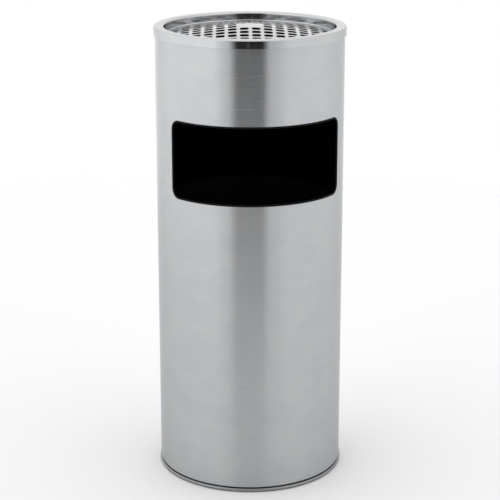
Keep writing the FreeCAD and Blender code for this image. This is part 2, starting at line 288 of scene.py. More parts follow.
class Graph:
    """The node tree of one material, with short calls for the nodes that the finishes need."""

    def __init__(self, name: str) -> None:
        """Starts a material with one Principled shader.

        Args:
            name: The material's name.
        """
        self.material = bpy.data.materials.new(name)
        self.material.use_nodes = True
        self.tree = self.material.node_tree
        self.shader = self.tree.nodes["Principled BSDF"]

    @classmethod
    def of_tree(cls, tree: bpy.types.NodeTree) -> "Graph":
        """Works on a node tree that has no Principled shader.

        Args:
            tree: The node tree.

        Returns:
            The graph of that tree.
        """
        graph = cls.__new__(cls)
        graph.tree = tree
        return graph

    def add(self, kind: str, **settings: object) -> bpy.types.Node:
        """Adds a node and sets its properties.

        Args:
            kind: The node's type.
            settings: Its properties.

        Returns:
            The node.
        """
        node = self.tree.nodes.new(kind)
        for key, value in settings.items():
            setattr(node, key, value)
        return node

    def feed(self, socket: bpy.types.NodeSocket, value: object) -> None:
        """Links a socket to another, or sets it to a plain value.

        Args:
            socket: The input.
            value: The output that it is linked to, or its value.
        """
        if isinstance(value, bpy.types.NodeSocket):
            self.tree.links.new(value, socket)
        else:
            socket.default_value = value

    def number(self, operation: str, *values: object) -> bpy.types.NodeSocket:
        """Adds a Math node.

        Args:
            operation: The node's operation.
            values: Its inputs, as sockets or numbers.

        Returns:
            Its output.
        """
        node = self.add("ShaderNodeMath", operation=operation)
        for socket, value in zip(node.inputs, values):
            self.feed(socket, value)
        return node.outputs[0]

    def spread(self, value: object, low: float, high: float) -> bpy.types.NodeSocket:
        """Maps 0 to 1 onto low to high."""
        return self.number("MULTIPLY_ADD", value, high - low, low)

    def step(self, value: object, low: float, high: float) -> bpy.types.NodeSocket:
        """Adds a smooth step.

        Args:
            value: What it follows.
            low: Where it is 0.
            high: Where it is 1.

        Returns:
            The step's output.
        """
        node = self.add("ShaderNodeMapRange", interpolation_type="SMOOTHSTEP")
        self.feed(node.inputs["Value"], value)
        node.inputs["From Min"].default_value = low
        node.inputs["From Max"].default_value = high
        return node.outputs["Result"]

    def place(self) -> bpy.types.NodeSocket:
        """The point in the piece's own space."""
        return self.add("ShaderNodeTexCoord").outputs["Object"]

    def split(self, vector: bpy.types.NodeSocket) -> list[bpy.types.NodeSocket]:
        """Takes a vector apart.

        Args:
            vector: The vector.

        Returns:
            Its x, y and z.
        """
        node = self.add("ShaderNodeSeparateXYZ")
        self.feed(node.inputs[0], vector)
        return list(node.outputs)

    def join(self, *parts: object) -> bpy.types.NodeSocket:
        """Puts a vector together.

        Args:
            parts: Its x, y and z.

        Returns:
            The vector.
        """
        node = self.add("ShaderNodeCombineXYZ")
        for socket, value in zip(node.inputs, parts):
            self.feed(socket, value)
        return node.outputs[0]

    def turn_of(self, x: object, y: object) -> bpy.types.NodeSocket:
        """The angle of a point about the Z axis, from -Y towards +X."""
        return self.number("ARCTAN2", x, self.number("MULTIPLY", y, -1.0))

    def reach_of(self, x: object, y: object) -> bpy.types.NodeSocket:
        """The distance of a point from the Z axis."""
        squares = [self.number("POWER", part, 2.0) for part in (x, y)]
        return self.number("SQRT", self.number("ADD", *squares))

    def noise(self, vector: object, scale: float, detail: float = 2.0) -> bpy.types.NodeSocket:
        """Adds a noise texture.

        Args:
            vector: Where it is read.
            scale: Its repeats per unit of vector.
            detail: Its finer layers.

        Returns:
            Its value, from 0 to 1.
        """
        node = self.add("ShaderNodeTexNoise")
        self.feed(node.inputs["Vector"], vector)
        node.inputs["Scale"].default_value = scale
        node.inputs["Detail"].default_value = detail
        return node.outputs["Fac"]

    def tint(self, colour: object, factor: object) -> bpy.types.NodeSocket:
        """Makes a colour lighter or darker.

        Args:
            colour: The colour, as a socket or three numbers.
            factor: By how much it is multiplied.

        Returns:
            The new colour.
        """
        node = self.add("ShaderNodeVectorMath", operation="SCALE")
        self.feed(node.inputs[0], colour)
        self.feed(node.inputs["Scale"], factor)
        return node.outputs[0]

    def blend(self, factor: object, under: object, over: object) -> bpy.types.NodeSocket:
        """Mixes two colours.

        Args:
            factor: The share of over.
            under: The first colour, as a socket or three numbers.
            over: The second.

        Returns:
            The mixed colour.
        """
        node = self.add("ShaderNodeMix", data_type="RGBA")
        self.feed(node.inputs["Factor"], factor)
        for name, value in (("A", under), ("B", over)):
            socket = next(s for s in node.inputs if s.name == name and s.type == "RGBA")
            self.feed(socket, value if isinstance(value, bpy.types.NodeSocket) else (*value, 1.0))
        return next(s for s in node.outputs if s.type == "RGBA")

    def bump(self, height: object, depth: float) -> None:
        """Gives the shader a bump.

        Args:
            height: The relief, from 0 to 1.
            depth: The height of that relief.
        """
        node = self.add("ShaderNodeBump")
        node.inputs["Strength"].default_value = 1.0
        node.inputs["Distance"].default_value = depth
        self.feed(node.inputs["Height"], height)
        self.feed(self.shader.inputs["Normal"], node.outputs["Normal"])

    def surface(self, **values: object) -> None:
        """Sets or links the shader's inputs. An underscore in a name stands for a space."""
        for key, value in values.items():
            self.feed(self.shader.inputs[key.replace("_", " ")], value)


# --- Finishes -----------------------------------------------------------------------------------


class Grain(Enum):
    """Which way the hairlines of a brushed sheet run."""

    ROUND = "round the bin's axis"
    STRAIGHT = "along X"


@dataclass(frozen=True)
class BrushedSteel:
    """Stainless sheet with hairlines, soft mottling and light wear."""

    name: str
    colour: Colour
    cool: Colour
    grain: Grain
    roughness: float = 0.3
    roughness_spread: float = 0.22
    anisotropy: float = 0.7
    hairline: float = 0.45 * MM
    hairline_length: float = 60 * MM
    band: float = 5 * MM
    band_length: float = 180 * MM
    mottle: float = 35 * MM
    mottle_edges: Point = (0.35, 0.65)
    contrast: float = 0.08
    depth: float = 0.006 * MM
    edge_tint: float = 0.8
    mean_radius: float = 125 * MM

    def across(self, graph: Graph, pitch: float, length: float) -> bpy.types.NodeSocket:
        """Noise that is drawn out along the grain.

        Args:
            graph: The material's nodes.
            pitch: The width of one line.
            length: The length of one line.

        Returns:
            The noise's value.
        """
        x, y, z = graph.split(graph.place())
        if self.grain is Grain.STRAIGHT:
            vector = graph.join(
                graph.number("DIVIDE", x, length),
                graph.number("DIVIDE", y, pitch),
                graph.number("DIVIDE", z, pitch),
            )
            return graph.noise(vector, 1.0)
        vector = graph.join(
            graph.number("MULTIPLY", graph.turn_of(x, y), self.mean_radius / length),
            graph.number("DIVIDE", z, pitch),
            graph.number("DIVIDE", graph.reach_of(x, y), pitch),
        )
        return graph.noise(vector, 1.0)

    def build(self) -> bpy.types.Material:
        """Makes the material.

        Returns:
            The finished material.
        """
        graph = Graph(self.name)
        lines = self.across(graph, self.hairline, self.hairline_length)
        bands = self.across(graph, self.band, self.band_length)
        mixed = graph.number("MULTIPLY", graph.number("ADD", lines, bands), 0.5)
        clouds = graph.noise(graph.place(), 1 / self.mottle, 3.0)
        tone = graph.blend(graph.step(clouds, *self.mottle_edges), self.colour, self.cool)
        shade = graph.spread(mixed, 1 - self.contrast, 1 + self.contrast)
        spread = self.roughness * self.roughness_spread
        graph.surface(
            Base_Color=graph.tint(tone, shade),
            Roughness=graph.spread(mixed, self.roughness - spread, self.roughness + spread),
            Metallic=1.0,
        )
        tangent = graph.add("ShaderNodeTangent", direction_type="RADIAL", axis="Z")
        graph.surface(Anisotropic=self.anisotropy, Anisotropic_Rotation=0.25, Tangent=tangent.outputs[0])
        graph.surface(Specular_Tint=(self.edge_tint, self.edge_tint, self.edge_tint, 1.0))
        graph.bump(lines, self.depth)
        return graph.material


@dataclass(frozen=True)
class Coating:
    """A dull black coat: powder paint, lacquering, rubber or moulded plastic."""

    name: str
    colour: Colour
    roughness: float
    grit: float
    depth: float
    specular: float = 0.4
    dust: float = 0.25
    patch: float = 30 * MM
    roughness_spread: float = 0.06

    def build(self) -> bpy.types.Material:
        """Makes the material.

        Returns:
            The finished material.
        """
        graph = Graph(self.name)
        place = graph.place()
        peel = graph.noise(place, 1 / self.grit, 3.0)
        patches = graph.noise(place, 1 / self.patch, 3.0)
        low, high = self.roughness - self.roughness_spread, self.roughness + self.roughness_spread
        graph.surface(
            Base_Color=graph.tint(self.colour, graph.spread(patches, 1 - self.dust, 1 + self.dust)),
            Roughness=graph.spread(patches, low, high),
            Specular_IOR_Level=self.specular,
        )
        graph.bump(peel, self.depth)
        return graph.material


SHELL_STEEL = BrushedSteel(
    "brushed_shell_steel",
    (0.474, 0.481, 0.487),
    (0.452, 0.469, 0.488),
    Grain.ROUND,
    roughness=0.26,
    anisotropy=0.96,
    contrast=0.06,
    depth=0.0024 * MM,
)
PAN_STEEL = BrushedSteel(
    "spun_pan_steel",
    (0.48, 0.485, 0.49),
    (0.46, 0.473, 0.49),
    Grain.ROUND,
    roughness=0.125,
    anisotropy=0.9,
    depth=0.002 * MM,
)
SIEVE_STEEL = BrushedSteel(
    "sieve_steel",
    (0.54, 0.545, 0.55),
    (0.52, 0.53, 0.545),
    Grain.STRAIGHT,
    roughness=0.18,
    anisotropy=0.35,
    depth=0.002 * MM,
)
# The seam ring's steel is a darker copy of the shell's: painted shade at the foot of the bin.
BASE_STEEL_WITH_PAINTED_SHADE = BrushedSteel(
    "seamed_base_steel_with_painted_shade",
    (0.31, 0.315, 0.322),
    (0.29, 0.3, 0.312),
    Grain.ROUND,
    roughness=0.3,
    anisotropy=0.7,
)
# Black coat of the shell's inside; on the neck groove the same black is painted shade.
INSIDE_LACQUER_AND_GROOVE_SHADE = Coating("inside_lacquer_and_painted_groove_shade", (0.0012, 0.0012, 0.0012), 0.85, 1.2 * MM, 0.03 * MM, 0.02)
# Black coat of the bowl, which also paints the shade seen through the sieve's holes.
BOWL_LACQUER_AND_HOLE_SHADE = Coating("bowl_lacquer_and_painted_hole_shade", (0.004, 0.004, 0.0042), 0.6, 1.2 * MM, 0.03 * MM, 0.1)
TRIM_RUBBER = Coating("trim_rubber", (0.003, 0.003, 0.0033), 0.7, 0.6 * MM, 0.03 * MM, 0.12)
FOOT_RUBBER = Coating("foot_rubber", (0.02, 0.02, 0.021), 0.8, 0.8 * MM, 0.05 * MM)
BUCKET_PAINT = Coating("bucket_powder_coat", (0.006, 0.006, 0.0065), 0.55, 1.4 * MM, 0.05 * MM, 0.22)
BAIL_PAINT = Coating("bail_paint", (0.012, 0.012, 0.013), 0.42, 1.0 * MM, 0.02 * MM)
GRIP_PLASTIC = Coating("grip_plastic", (0.012, 0.012, 0.012), 0.55, 0.5 * MM, 0.04 * MM)


# --- Sub-assemblies -----------------------------------------------------------------------------


@dataclass
class Assembly:
    """What every sub-assembly shares: its body, and how its pieces join the frame."""

    body: str

    def dress(self, piece: bpy.types.Object, *finishes: bpy.types.Material) -> None:
        """Gives a piece its materials in place of any it has.

        Args:
            piece: The piece.
            finishes: Its materials.
        """
        if piece.data.materials:
            piece.data.materials.clear()
        for finish in finishes:
            piece.data.materials.append(finish)

    def fit(self, piece: bpy.types.Object, node: str, *finishes: bpy.types.Material) -> None:
        """Puts a new piece in the place of a CAD node.

        Args:
            piece: The new piece.
            node: The node that it stands for.
            finishes: Its materials.
        """
        self.dress(piece, *finishes)
        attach(piece, self.body)
        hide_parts(node)
        log.info("%s stands for %s: %d faces", piece.name, node, len(piece.data.polygons))

    def keep(self, node: str, finish: bpy.types.Material) -> None:
        """Keeps a CAD node's shape and gives it a finish.

        Args:
            node: The node.
            finish: Its material.
        """
        piece = frame["nodes"][node]
        self.dress(piece, finish)
        log.info("%s keeps its CAD shape", node)


@dataclass
class Body(Assembly):
    """The fixed bin: rolled shell, aperture trim, seamed base and foot ring."""

    body: str = "bin"
    gauge: float = 0.8 * MM
    hem_height: float = 8 * MM
    neck_depth: float = 0.9 * MM
    neck_height: float = 1.3 * MM
    neck_bend: float = 1.2 * MM
    seam_height: float = 4 * MM
    seam_lift: float = 1 * MM
    seam_round: float = 1.3 * MM
    clearance: float = 0.05 * MM
    trim_lip: float = 1.8 * MM
    trim_wall: float = 0.7 * MM
    trim_corner: float = 13.3 * MM
    lap_groove: float = 0.35 * MM
    edge_round: float = 0.32 * MM
    plain_step: float = 1.5
    corner_steps: int = 10
    rows_below: int = 24
    rows_beside: int = 8
    rows_above: int = 12
    land_width: float = 14 * MM
    panel_rise: float = 4 * MM
    base_bend: float = 0.96 * MM
    foot_width: float = 9 * MM
    foot_edge: float = 0.4 * MM
    foot_groove: float = 0.7 * MM
    outer: float = field(init=False)
    low: float = field(init=False)
    top: float = field(init=False)
    neck_top: float = field(init=False)
    hem_low: float = field(init=False)
    sill: float = field(init=False)
    lintel: float = field(init=False)
    half_angle: float = field(init=False)
    corner: float = field(init=False)

    def __post_init__(self) -> None:
        """Reads the shell's and the aperture's places from the frame."""
        shell_low, shell_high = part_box("body_shell")
        trim_low, trim_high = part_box("aperture_trim")
        self.outer = shell_high[0]
        self.low, self.top = shell_low[2], shell_high[2]
        self.neck_top = self.seam_lift + self.seam_height + self.neck_height
        self.hem_low = self.top - self.hem_height
        self.sill, self.lintel = trim_low[2] + self.trim_lip, trim_high[2] - self.trim_lip
        trim_radius = self.outer + self.trim_wall
        self.half_angle = math.asin(trim_high[0] / trim_radius) - self.trim_lip / self.outer
        self.corner = self.trim_corner - self.trim_lip

    def columns(self) -> tuple[list[float], int]:
        """The angles at which the shell's section is drawn, from one side of the aperture round.

        Returns:
            The angles from -Y, and how many of them lie on or within the aperture.
        """
        width = self.corner / self.outer
        turns = [math.pi / 2 * i / self.corner_steps for i in range(self.corner_steps + 1)]
        left = [-self.half_angle + width * (1 - math.cos(t)) for t in turns]
        middle_width = 2 * (self.half_angle - width)
        count = round(math.degrees(middle_width) / self.plain_step)
        middle = [left[-1] + middle_width * i / count for i in range(1, count)]
        within = left + middle + [-angle for angle in reversed(left)]
        rest = TURN - 2 * self.half_angle
        count = 2 * round(math.degrees(rest) / self.plain_step / 2)
        beyond = [self.half_angle + rest * i / count for i in range(1, count)]
        groove = self.lap_groove / self.outer
        seam = [math.pi + groove * k for k in (-1.0, -0.5, 0.5, 1.0)]
        beyond = sorted([a for a in beyond if abs(a - math.pi) > 2 * groove] + seam)
        return within + beyond, len(within)

    def edge_rise(self, angle: float) -> float:
        """How far the aperture's rounded corner stands in from its sill or lintel.

        Args:
            angle: The angle from -Y.

        Returns:
            The height of the corner's curve over the sill.
        """
        width = self.corner / self.outer
        into = abs(angle) - (self.half_angle - width)
        if into <= 0:
            return 0.0
        share = min(into / width, 1.0)
        return self.corner * (1 - math.sqrt(1 - share * share))

    def foot_section(self) -> list[Point]:
        """The sheet's outside at the neck that the base is seamed to, from its edge up.

        Returns:
            The outline's points.
        """
        neck = self.outer - self.neck_depth
        corners = [
            (neck, self.low, 0),
            (neck, self.neck_top, self.neck_bend),
            (self.outer, self.neck_top + self.neck_depth, self.neck_bend),
            (self.outer, self.neck_top + 4 * self.neck_depth, 0),
        ]
        return rounded(corners)

    def hem_section(self) -> list[Point]:
        """The hem, from the sheet's outside over its top edge and down inside.

        Returns:
            The outline's points.
        """
        edge = self.edge_round
        folded = self.outer - 2 * self.gauge
        corners = [
            (self.outer, self.top - 4 * edge, 0),
            (self.outer, self.top, edge),
            (folded, self.top, edge),
            (folded, self.hem_low, edge),
            (self.outer - self.gauge, self.hem_low, 0),
        ]
        return rounded(corners)

    def levels(self, angle: float, base: float, head: float) -> list[float]:
        """The heights of the points on the sheet's outside between the foot and the hem.

        Args:
            angle: The angle from -Y.
            base: The height at which the foot's section ends.
            head: The height at which the hem's section starts.

        Returns:
            The heights, of which one lies on the aperture's sill and one on its lintel.
        """
        rise = self.edge_rise(angle) if abs(angle) <= self.half_angle + TINY else self.corner
        sill, lintel = self.sill + rise, self.lintel - rise
        below, beside, above = self.rows_below, self.rows_beside, self.rows_above
        found = [base + (sill - base) * i / below for i in range(1, below + 1)]
        found += [sill + (lintel - sill) * i / beside for i in range(1, beside + 1)]
        found += [lintel + (head - lintel) * i / above for i in range(1, above)]
        return found

    def make_shell(self) -> bpy.types.Object:
        """Builds the rolled sheet with its neck, hem, aperture and lap line.

        Returns:
            The shell.
        """
        foot, hem = self.foot_section(), self.hem_section()
        foot_inside = offset(foot, self.gauge)
        angles, within = self.columns()
        verts: list[Corner] = []
        for angle in angles:
            levels = self.levels(angle, foot[-1][1], hem[0][1])
            inner_levels = [min(level, self.hem_low - TINY) for level in levels]
            loop = foot + [(self.outer, z) for z in levels] + hem
            inside = [(self.outer - self.gauge, z) for z in inner_levels]
            loop += list(reversed(foot_inside + inside))
            in_seam = abs(abs(angle) - math.pi) < 0.75 * self.lap_groove / self.outer
            for radius, height in loop:
                radius -= self.lap_groove if in_seam and radius > self.outer - self.gauge / 2 else 0
                verts.append((radius * math.sin(angle), -radius * math.cos(angle), height))
        size, outer_count = len(loop), len(foot) + len(levels)
        sill_row = len(foot) + self.rows_below - 1
        aperture = range(sill_row, sill_row + self.rows_beside)
        faces, inner_faces = self.skin(len(angles), within, size, outer_count, len(hem), aperture)
        piece = make_object("rolled_shell", verts, faces)
        for index in inner_faces:
            piece.data.polygons[index].material_index = 1
        # Faces below the neck's top get the same black: painted shade in the groove above the seam.
        for face in piece.data.polygons:
            if face.center.z < self.neck_top:
                face.material_index = 1
        smooth(piece, 40.0)
        return piece

    def skin(
        self, count: int, within: int, size: int, outer_count: int, hem_count: int, aperture: range
    ) -> tuple[Faces, list[int]]:
        """Joins the sections of the shell, and closes the cut edge round the aperture.

        Args:
            count: How many sections there are.
            within: How many of them, from the first, lie on or within the aperture.
            size: The number of points of a section.
            outer_count: How many of those, from the first, are on the sheet's outside.
            hem_count: How many come after them on the hem.
            aperture: The rows of the outside that lie in the aperture.

        Returns:
            The faces, and which of them are the sheet's inside.
        """
        faces: Faces = []
        inner_faces: list[int] = []
        sill_row, lintel_row = aperture.start, aperture.stop
        for c in range(count):
            here, there = c * size, (c + 1) % count * size
            open_strip = c < within - 1
            for k in range(size):
                after = (k + 1) % size
                row = k if k < outer_count else size - 1 - after if k >= size - outer_count else -1
                if open_strip and row in aperture:
                    continue
                if k >= outer_count + hem_count and k < size - 1:
                    inner_faces.append(len(faces))
                faces.append((here + k, here + after, there + after, there + k))
            if open_strip:
                for row in (sill_row, lintel_row):
                    back = size - 1 - row
                    faces.append((here + row, there + row, there + back, here + back))
        for column in (0, within - 1):
            start, last = column * size, (column + 1) * size - 1
            faces += [(start + row, start + row + 1, last - row - 1, last - row) for row in aperture]
        return faces, inner_faces

    def aperture_path(self) -> list[tuple[float, float, Point]]:
        """The middle of the trim's slot, all the way round the aperture.

        Returns:
            For each place: its angle, its height, and the outward direction in the sheet.
        """
        width = self.corner / self.outer
        found = []
        corners = (
            (1, self.lintel - self.corner, 0.0),
            (-1, self.lintel - self.corner, 90.0),
            (-1, self.sill + self.corner, 180.0),
            (1, self.sill + self.corner, 270.0),
        )
        for i, (side, height, start) in enumerate(corners):
            middle = side * (self.half_angle - width)
            for step in range(self.corner_steps + 1):
                turn = math.radians(start + 90.0 * step / self.corner_steps)
                out = (math.cos(turn), math.sin(turn))
                found.append((middle + width * out[0], height + self.corner * out[1], out))
            next_side, next_height, _ = corners[(i + 1) % 4]
            angle, z, out = found[-1]
            end = next_side * (self.half_angle - width) + width * out[0]
            end_z = next_height + self.corner * out[1]
            count = max(2, round(math.degrees(abs(end - angle)) / self.plain_step))
            for step in range(1, count):
                share = step / count
                found.append((angle + (end - angle) * share, z + (end_z - z) * share, out))
        return found

    def make_trim(self) -> bpy.types.Object:
        """Builds the rubber edging whose slot holds the aperture's raw edge.

        Returns:
            The trim.
        """
        half = self.gauge / 2
        thick = half + self.trim_wall
        lip = self.trim_lip
        bead = [
            (lip, half, 0),
            (lip, thick, 0.5 * self.trim_wall),
            (-self.trim_wall, thick, thick * 0.8),
            (-self.trim_wall, -thick, thick * 0.8),
            (lip, -thick, 0.5 * self.trim_wall),
            (lip, -half, 0),
            (self.clearance, -half, 0),
            (self.clearance, half, 0),
        ]
        section = rounded(bead, closed=True, steps=5)
        places = []
        for angle, height, out in self.aperture_path():
            radial = Vector((math.sin(angle), -math.cos(angle), 0))
            along = Vector((math.cos(angle), math.sin(angle), 0))
            outward = along * out[0] + Vector((0, 0, 1)) * out[1]
            place = radial * (self.outer - half) + Vector((0, 0, height))
            axes = Matrix((outward, radial, outward.cross(radial))).transposed().to_4x4()
            places.append(Matrix.Translation(place) @ axes)
        return sweep("aperture_edging", places, [section] * len(places), closed=True)

    def make_base(self) -> bpy.types.Object:
        """Builds the pressed base with the rolled seam round its edge.

        Returns:
            The base.
        """
        low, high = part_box("base_pan")
        foot_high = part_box("foot_ring")[1][2]
        seam = high[0]
        neck = self.outer - self.neck_depth
        chuck = neck - 2 * self.gauge - self.clearance
        step = chuck - self.land_width
        rise = foot_high + self.panel_rise
        bend = self.base_bend
        slant = 0.4 * self.gauge
        top = low[2] + self.seam_height
        under = [
            (0, rise, 0),
            (step - self.panel_rise, rise, bend),
            (step, foot_high, bend),
            (chuck, foot_high, bend),
            (chuck, low[2], bend),
            (seam, low[2], self.seam_round),
            (seam, top, self.seam_round),
            (neck + self.clearance, top, 0.3 * self.gauge),
            (neck + self.clearance, low[2] + self.gauge, 0),
            (chuck + self.gauge, low[2] + self.gauge, 0),
            (chuck + self.gauge, foot_high + self.gauge, bend + self.gauge),
            (step - slant, foot_high + self.gauge, bend),
            (step - self.panel_rise - slant, rise + self.gauge, bend),
            (0, rise + self.gauge, 0),
        ]
        return lathe("seamed_base", rounded(under))

    def make_foot(self) -> bpy.types.Object:
        """Builds the rubber ring that the bin stands on.

        Returns:
            The foot ring.
        """
        low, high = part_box("foot_ring")
        outer = high[0]
        inner = outer - self.foot_width
        edge, half_groove = self.foot_edge, self.foot_groove
        groove = (inner + outer) / 2
        corners = [
            (inner, low[2], edge),
            (groove - half_groove, low[2], 0),
            (groove, low[2] + half_groove, 0),
            (groove + half_groove, low[2], 0),
            (outer, low[2], edge),
            (outer, high[2], edge),
            (inner, high[2], edge),
        ]
        loop = rounded(corners, closed=True)
        return lathe("floor_ring", loop)

    def build(self) -> None:
        """Builds and dresses every piece of the fixed bin."""
        steel, lacquer_and_groove_shade = SHELL_STEEL.build(), INSIDE_LACQUER_AND_GROOVE_SHADE.build()
        self.fit(self.make_shell(), "body_shell", steel, lacquer_and_groove_shade)
        self.fit(self.make_trim(), "aperture_trim", TRIM_RUBBER.build())
        self.fit(self.make_base(), "base_pan", BASE_STEEL_WITH_PAINTED_SHADE.build())
        self.fit(self.make_foot(), "foot_ring", FOOT_RUBBER.build())


@dataclass
class AshPan(Assembly):
    """The spun dish that hooks over the shell."""

    body: str = "ash_tray"
    gauge: float = 0.8 * MM
    rim_width: float = 14.15 * MM
    rim_round: float = 2.6 * MM
    skirt: float = 11 * MM
    ledge_width: float = 7 * MM
    ledge_depth: float = 12.15 * MM
    ledge_bend: float = 0.96 * MM
    mouth_bend: float = 2 * MM
    bowl_draft: float = 8 * MM
    bowl_bend: float = 8 * MM

    def build(self) -> None:
        """Builds and dresses the pan."""
        low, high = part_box("ash_pan")
        outer, top = high[0], high[2]
        inner = outer - self.rim_width
        ledge = top - self.ledge_depth
        bowl = inner - self.ledge_width
        floor = low[2] + self.gauge
        path = [
            (outer, top - self.skirt, 0),
            (outer, top, self.rim_round),
            (inner, top, self.rim_round),
            (inner, ledge, self.ledge_bend),
            (bowl, ledge, self.mouth_bend),
            (bowl - self.bowl_draft, floor, self.bowl_bend),
            (0, floor, 0),
        ]
        piece = lathe("spun_ash_pan", sheet_loop(path, self.gauge, steps=8))
        # The bowl's inside below the ledge gets the black coat, which also paints the shade under the
        # sieve.
        for face in piece.data.polygons:
            inward = face.normal.z - face.normal.dot(face.center.to_2d().normalized().to_3d())
            if face.center.z < ledge - self.gauge and inward > 0:
                face.material_index = 1
        self.fit(piece, "ash_pan", PAN_STEEL.build(), BOWL_LACQUER_AND_HOLE_SHADE.build())


@dataclass
class Sieve(Assembly):
    """The perforated cone that lies in the pan."""

    body: str = "sieve"
    gauge: float = 0.6 * MM
    flange: float = 7 * MM
    cap_radius: float = 17 * MM
    bend: float = 12 * MM
    pitch: float = 15.5 * MM
    hole: float = 11.2 * MM
    hole_corner: float = 2.6 * MM
    edge: float = 0.15 * MM
    bead: float = 1 * MM
    turn: float = -5.3
    corner_steps: int = 4
    halvings: int = 30
    arc_step: float = 2.0
    bead_flats: int = 16
    border_rings: tuple[float, ...] = (0.2, 0.4, 0.6)
    border_flats: int = 144
    cap_rings: tuple[float, ...] = (0.35, 0.7, 1.0)
    cap_flats: int = 36
    outer: float = field(init=False)
    open_radius: float = field(init=False)
    flange_top: float = field(init=False)
    cap_top: float = field(init=False)
    plate_radius: float = field(init=False)
    bead_start: float = field(init=False)

    def __post_init__(self) -> None:
        """Reads the sieve's place from the frame."""
        low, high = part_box("ash_sieve")
        self.outer = high[0]
        self.open_radius = self.outer - self.flange
        self.flange_top, self.cap_top = low[2] + self.gauge, high[2]
        self.bead_start = math.pi + math.asin((self.bead - self.gauge) / self.bead)
        self.plate_radius = self.outer - self.bead + self.bead * math.cos(self.bead_start)

    def height_at(self) -> Callable[[float], float]:
        """How high the sieve's upper face is.

        Returns:
            The height as a function of the radius.
        """
        profile = rounded(
            [
                (0, self.cap_top, 0),
                (self.cap_radius, self.cap_top, self.bend),
                (self.open_radius, self.flange_top, self.bend),
                (self.outer, self.flange_top, 0),
            ],
            steps=10,
        )

        def height(radius: float) -> float:
            """Reads the profile at a radius.

            Args:
                radius: The distance from the axis.

            Returns:
                The height there.
            """
            for (r0, z0), (r1, z1) in zip(profile, profile[1:]):
                if radius <= r1:
                    return z0 + (z1 - z0) * (radius - r0) / max(r1 - r0, TINY)
            return self.flange_top

        return height

    def clip(self, outline: Sequence[Point], radius: float) -> list[Point]:
        """Cuts an outline off at a circle about the axis.

        Args:
            outline: A closed outline.
            radius: The circle's radius.

        Returns:
            What is left of it, with points along the circle.
        """
        kept: list[Point] = []
        for i, point in enumerate(outline):
            before = outline[i - 1]
            inside, was_inside = math.hypot(*point) <= radius, math.hypot(*before) <= radius
            if inside != was_inside:
                a, b = Vector(before), Vector(point)
                low, high = 0.0, 1.0
                for _ in range(self.halvings):
                    middle = (low + high) / 2
                    if (a.lerp(b, middle).length <= radius) == was_inside:
                        low = middle
                    else:
                        high = middle
                crossing = a.lerp(b, low)
                if inside and kept:
                    kept.extend(self.along_circle(kept[-1], (crossing.x, crossing.y), radius))
                kept.append((crossing.x, crossing.y))
            if inside:
                kept.append(point)
        if len(kept) < 3:
            return kept
        first, last = kept[0], kept[-1]
        on_circle = [abs(math.hypot(*p) - radius) < NEAR for p in (first, last)]
        if all(on_circle):
            kept.extend(self.along_circle(last, first, radius))
        return kept

    def along_circle(self, start: Point, end: Point, radius: float) -> list[Point]:
        """Goes along a circle from one of its points to another.

        Args:
            start: The point that it comes from.
            end: The point that it goes to.
            radius: The circle's radius.

        Returns:
            The points strictly between the two.
        """
        a, b = (math.atan2(p[1], p[0]) for p in (start, end))
        gap = (b - a + math.pi) % TURN - math.pi
        count = max(1, round(abs(gap) / math.radians(self.arc_step)))
        turns = (a + gap * i / count for i in range(1, count))
        return [(radius * math.cos(t), radius * math.sin(t)) for t in turns]

    def holes(self) -> list[list[Point]]:
        """Lays out the holes as they are at the sheet's faces, where their edges are rolled over.

        Returns:
            The outline of each hole.
        """
        half = self.hole / 2 + self.edge
        corner = self.hole_corner + self.edge
        signs = ((1, -1), (1, 1), (-1, 1), (-1, -1))
        corners = [(u * half, w * half, corner) for u, w in signs]
        square = rounded(corners, closed=True, steps=self.corner_steps)
        per_side = int(self.open_radius / self.pitch) + 1
        steps = [(i + 0.5) * self.pitch for i in range(-per_side, per_side)]
        turned = Matrix.Rotation(math.radians(self.turn), 2)
        found = []
        for x in steps:
            for y in steps:
                near = math.hypot(*(max(abs(v) - self.hole / 2, 0) for v in (x, y)))
                out_of_reach = near >= self.open_radius - self.hole / 3
                if out_of_reach or max(abs(x), abs(y)) < self.pitch:
                    continue
                whole = [(x + u, y + w) for u, w in square]
                outline = self.clip(whole, self.open_radius + self.edge)
                spots = [turned @ Vector(p) for p in outline]
                found.append([(p.x, p.y) for p in spots])
        return found

    def make_plate(self) -> bpy.types.Object:
        """Builds the plate with its holes and the bead round its edge.

        Returns:
            The sieve.
        """
        outlines = self.holes()
        points: list[Vector] = []
        edges: list[tuple[int, int]] = []
        spans: list[tuple[int, int]] = []
        for loop in [ring_points(self.plate_radius, ROUND_STEPS)] + outlines:
            start, size = len(points), len(loop)
            points.extend(Vector(p) for p in loop)
            edges.extend((start + i, start + (i + 1) % size) for i in range(size))
            spans.append((start, size))
        plain = [(self.open_radius + k * self.flange, self.border_flats) for k in self.border_rings]
        plain += [(self.cap_radius * k, self.cap_flats) for k in self.cap_rings]
        for radius, count in plain:
            points.extend(Vector(p) for p in ring_points(radius, count))
        points.append(Vector((0, 0)))
        spots, _, flats, origins, _, _ = delaunay_2d_cdt(points, edges, [], 0, TINY)
        index_of = {old: new for new, olds in enumerate(origins) for old in olds}
        rings = [[index_of[start + i] for i in range(size)] for start, size in spans]
        kept = self.solid_flats(spots, flats, rings[1:], outlines)
        height = self.height_at()
        lift = [height(spot.length) for spot in spots]
        count = len(spots)
        verts = [(s.x, s.y, z) for s, z in zip(spots, lift)]
        verts += [(s.x, s.y, z - self.gauge) for s, z in zip(spots, lift)]
        faces: Faces = kept + [tuple(count + v for v in reversed(flat)) for flat in kept]
        for ring in rings[1:]:
            self.add_wall(verts, faces, ring, count)
        self.add_bead(verts, faces, rings[0], count)
        return make_object("perforated_sieve", verts, faces)

